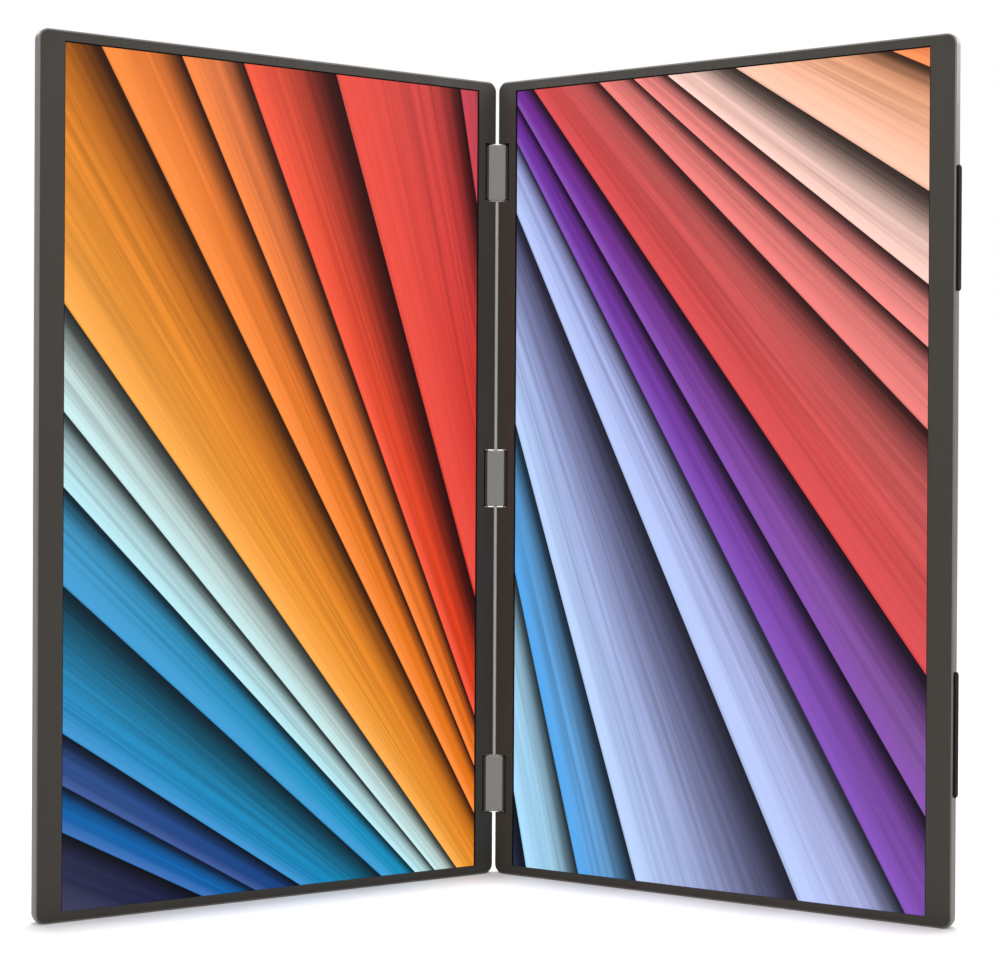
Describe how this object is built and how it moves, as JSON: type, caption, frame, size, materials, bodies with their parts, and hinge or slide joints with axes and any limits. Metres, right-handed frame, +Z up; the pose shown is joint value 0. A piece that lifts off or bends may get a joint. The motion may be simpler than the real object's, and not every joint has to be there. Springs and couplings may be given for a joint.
{
  "type": "dual portable monitor",
  "caption": "Two thin portrait displays that fold like a book on a shared spine of two-axis friction hinges, to stand open, close or fold back to back.",
  "frame": {"origin": "middle of the bounding box of the standing pose, on the surface it stands on", "axes": "+X to the right as seen by the viewer, +Y away from the viewer, +Z up along the hinge axes"},
  "size_m": [0.4352, 0.1442, 0.42],
  "materials": {
    "cover_metal": "fine blasted, anodised warm grey",
    "bezel_plastic": "matte, fine grain",
    "left_display": "satin anti-glare, lit",
    "right_display": "satin anti-glare, lit",
    "diffuser_film": "satin film",
    "light_guide": "polished acrylic",
    "reflector_white": "white film",
    "lamp_strip": "white strip with lamps",
    "panel_frame_plastic": "white moulded",
    "panel_steel": "zinc plated",
    "circuit_board": "solder resist",
    "chip_black": "moulded",
    "hinge_steel": "ground",
    "screw_steel": "dark zinc",
    "cable_black": "satin sheath",
    "foot_rubber": "matte",
    "speaker_black": "moulded",
    "socket_steel": "bright",
    "tongue_black": "moulded",
    "switch_black": "moulded",
    "key_plastic": "matte",
    "hinge_block_metal": "satin anodised warm grey",
    "spine_metal": "satin anodised warm grey"
  },
  "bodies": {
    "spine": {"lower_hinge_block": "hinge_block_metal", "middle_hinge_block": "hinge_block_metal", "upper_hinge_block": "hinge_block_metal", "lower_spine_strip": "spine_metal", "upper_spine_strip": "spine_metal", "friction_sleeves": "hinge_steel", "link_cable_middle": "cable_black"},
    "right_leaf": {"key_switches": "switch_black", "main_board": "circuit_board", "main_board_chips": "chip_black", "mini_hdmi_shell": "socket_steel", "mini_hdmi_tongue": "tongue_black", "right_board_screws": "screw_steel", "right_bracket_screws": "screw_steel", "right_cover_screws": "screw_steel", "right_display_glass": "right_display", "right_driver_board": "circuit_board", "right_edge_feet": "foot_rubber", "right_front_bezel": "bezel_plastic", "right_hinge_brackets": "hinge_steel", "right_hinge_shafts": "hinge_steel", "right_light_bar": "lamp_strip", "right_light_guide": "light_guide", "right_link_cable_end": "cable_black", "right_optical_films": "diffuser_film", "right_panel_back_plate": "panel_steel", "right_panel_frame": "panel_frame_plastic", "right_rear_cover": "cover_metal", "right_rear_feet": "foot_rubber", "right_reflector_sheet": "reflector_white", "right_speakers": "speaker_black", "usb_c_shells": "socket_steel", "usb_c_tongues": "tongue_black"},
    "left_leaf": {"left_board_screws": "screw_steel", "left_bracket_screws": "screw_steel", "left_cover_screws": "screw_steel", "left_display_glass": "left_display", "left_driver_board": "circuit_board", "left_front_bezel": "bezel_plastic", "left_hinge_brackets": "hinge_steel", "left_hinge_shafts": "hinge_steel", "left_light_bar": "lamp_strip", "left_light_guide": "light_guide", "left_link_cable_end": "cable_black", "left_optical_films": "diffuser_film", "left_panel_back_plate": "panel_steel", "left_panel_frame": "panel_frame_plastic", "left_rear_cover": "cover_metal", "left_receiver_board": "circuit_board", "left_receiver_chips": "chip_black", "left_reflector_sheet": "reflector_white"},
    "power_key": {"power_key": "key_plastic"},
    "plus_key": {"plus_key": "key_plastic"},
    "minus_key": {"minus_key": "key_plastic"}
  },
  "joints": [
    {"name": "right_fold", "type": "hinge", "parent": "spine", "child": "right_leaf", "pos_m": [0.00498, 0.06858, 0], "axis": [0, 0, -1], "range_deg": [-123, 57]},
    {"name": "left_fold", "type": "hinge", "parent": "spine", "child": "left_leaf", "pos_m": [-0.00562, 0.06858, 0], "axis": [0, 0, 1], "range_deg": [-123, 57]},
    {"name": "power_key_press", "type": "slide", "parent": "right_leaf", "child": "power_key", "axis": [0, 0, -1], "range_m": [0, 0.0005], "stiffness_N_per_m": 3000},
    {"name": "plus_key_press", "type": "slide", "parent": "right_leaf", "child": "plus_key", "axis": [0, 0, -1], "range_m": [0, 0.0005], "stiffness_N_per_m": 3000},
    {"name": "minus_key_press", "type": "slide", "parent": "right_leaf", "child": "minus_key", "axis": [0, 0, -1], "range_m": [0, 0.0005], "stiffness_N_per_m": 3000}
  ]
}
